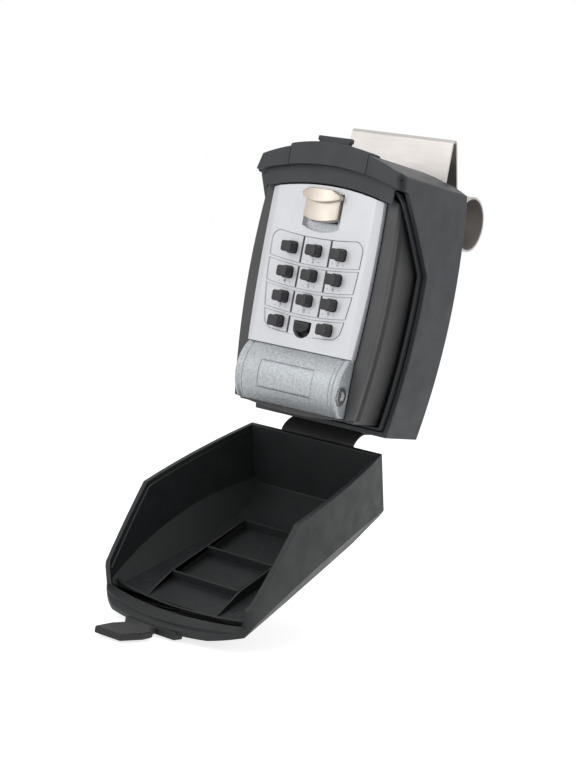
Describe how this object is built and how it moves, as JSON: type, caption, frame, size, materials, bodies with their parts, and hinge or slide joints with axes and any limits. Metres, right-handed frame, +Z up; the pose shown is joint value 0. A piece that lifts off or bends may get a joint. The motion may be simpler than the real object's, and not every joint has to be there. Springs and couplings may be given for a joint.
{
  "type": "car window key safe",
  "caption": "Push-button key safe in a hinged weatherproof case, with a bent steel hook that hangs it on the top edge of a car window.",
  "frame": {"origin": "middle of the top edge of the window glass inside the hook", "axes": "+Z up, +X to the right as seen from the front, front faces -Y, the glass lies in the XZ plane"},
  "size_m": [0.082, 0.1943, 0.2258],
  "materials": {
    "case_plastic": "fine moulded grain",
    "lid_plastic": "fine moulded grain",
    "soft_black": "smooth, soft",
    "stainless": "brushed stainless",
    "vault_paint": "dark satin paint",
    "inner_steel": "zinc plated",
    "pin_steel": "bright steel",
    "hammered_silver": "hammered silver paint",
    "matt_silver": "matt silver",
    "cover_paint": "grey paint",
    "warm_nickel": "satin warm nickel",
    "button_black": "satin black",
    "wheel_brass": "plain brass"
  },
  "bodies": {
    "housing": {"weather_shell": "case_plastic", "window_hook": "stainless", "vault_body": "vault_paint", "vault_screws": "inner_steel", "hinge_pin": "pin_steel", "hinge_strap": "soft_black"},
    "lid": {"weather_lid": "lid_plastic"},
    "latch": {"latch_strap": "soft_black"},
    "door": {"door_casting": "hammered_silver", "face_plate": "matt_silver", "lock_chassis": "inner_steel", "rear_cover": "cover_paint", "cover_screws": "inner_steel", "bolt_guide": "inner_steel", "button_springs": "inner_steel", "bolt_spring": "inner_steel", "clear_spring": "inner_steel"},
    "opener": {"open_slide": "warm_nickel", "latch_bolt": "inner_steel"},
    "clearer": {"clear_slide": "button_black"},
    "key_1": {"button_1": "button_black", "code_wheel_1": "wheel_brass"},
    "key_2": {"button_2": "button_black", "code_wheel_2": "wheel_brass"},
    "key_3": {"button_3": "button_black", "code_wheel_3": "wheel_brass"},
    "key_4": {"button_4": "button_black", "code_wheel_4": "wheel_brass"},
    "key_5": {"button_5": "button_black", "code_wheel_5": "wheel_brass"},
    "key_6": {"button_6": "button_black", "code_wheel_6": "wheel_brass"},
    "key_7": {"button_7": "button_black", "code_wheel_7": "wheel_brass"},
    "key_8": {"button_8": "button_black", "code_wheel_8": "wheel_brass"},
    "key_9": {"button_9": "button_black", "code_wheel_9": "wheel_brass"},
    "key_0": {"button_0": "button_black", "code_wheel_0": "wheel_brass"},
    "key_blank": {"button_blank": "button_black", "code_wheel_blank": "wheel_brass"}
  },
  "joints": [
    {"name": "lid_hinge", "type": "hinge", "parent": "housing", "child": "lid", "pos_m": [0, -0.02595, -0.13364], "axis": [1, 0, 0], "range_deg": [-113.7, 60], "deforming": ["hinge_strap"]},
    {"name": "latch_flex", "type": "hinge", "parent": "lid", "child": "latch", "pos_m": [0, -0.12829, -0.21848], "axis": [-1, 0, 0], "range_deg": [-24, 35], "stiffness_Nm_per_rad": 0.03},
    {"name": "door_hinge", "type": "hinge", "parent": "housing", "child": "door", "pos_m": [0, -0.057, -0.11454], "axis": [1, 0, 0], "range_deg": [0, 95]},
    {"name": "opener_slide", "type": "slide", "parent": "door", "child": "opener", "axis": [0, 0, -1], "range_m": [-0.002, 0.004], "stiffness_N_per_m": 1000, "springref_m": -0.00015, "deforming": ["bolt_spring"]},
    {"name": "clearer_slide", "type": "slide", "parent": "door", "child": "clearer", "axis": [0, 0, -1], "range_m": [0, 0.0024], "stiffness_N_per_m": 300, "springref_m": -0.0007, "deforming": ["clear_spring"]},
    {"name": "press_1", "type": "slide", "parent": "door", "child": "key_1", "axis": [0, 1, 0], "range_m": [0, 0.0025], "stiffness_N_per_m": 400, "springref_m": -0.0006, "deforming": ["button_springs"]},
    {"name": "press_2", "type": "slide", "parent": "door", "child": "key_2", "axis": [0, 1, 0], "range_m": [0, 0.0025], "stiffness_N_per_m": 400, "springref_m": -0.0006, "deforming": ["button_springs"]},
    {"name": "press_3", "type": "slide", "parent": "door", "child": "key_3", "axis": [0, 1, 0], "range_m": [0, 0.0025], "stiffness_N_per_m": 400, "springref_m": -0.0006, "deforming": ["button_springs"]},
    {"name": "press_4", "type": "slide", "parent": "door", "child": "key_4", "axis": [0, 1, 0], "range_m": [0, 0.0025], "stiffness_N_per_m": 400, "springref_m": -0.0006, "deforming": ["button_springs"]},
    {"name": "press_5", "type": "slide", "parent": "door", "child": "key_5", "axis": [0, 1, 0], "range_m": [0, 0.0025], "stiffness_N_per_m": 400, "springref_m": -0.0006, "deforming": ["button_springs"]},
    {"name": "press_6", "type": "slide", "parent": "door", "child": "key_6", "axis": [0, 1, 0], "range_m": [0, 0.0025], "stiffness_N_per_m": 400, "springref_m": -0.0006, "deforming": ["button_springs"]},
    {"name": "press_7", "type": "slide", "parent": "door", "child": "key_7", "axis": [0, 1, 0], "range_m": [0, 0.0025], "stiffness_N_per_m": 400, "springref_m": -0.0006, "deforming": ["button_springs"]},
    {"name": "press_8", "type": "slide", "parent": "door", "child": "key_8", "axis": [0, 1, 0], "range_m": [0, 0.0025], "stiffness_N_per_m": 400, "springref_m": -0.0006, "deforming": ["button_springs"]},
    {"name": "press_9", "type": "slide", "parent": "door", "child": "key_9", "axis": [0, 1, 0], "range_m": [0, 0.0025], "stiffness_N_per_m": 400, "springref_m": -0.0006, "deforming": ["button_springs"]},
    {"name": "press_0", "type": "slide", "parent": "door", "child": "key_0", "axis": [0, 1, 0], "range_m": [0, 0.0025], "stiffness_N_per_m": 400, "springref_m": -0.0006, "deforming": ["button_springs"]},
    {"name": "press_blank", "type": "slide", "parent": "door", "child": "key_blank", "axis": [0, 1, 0], "range_m": [0, 0.0025], "stiffness_N_per_m": 400, "springref_m": -0.0006, "deforming": ["button_springs"]}
  ]
}
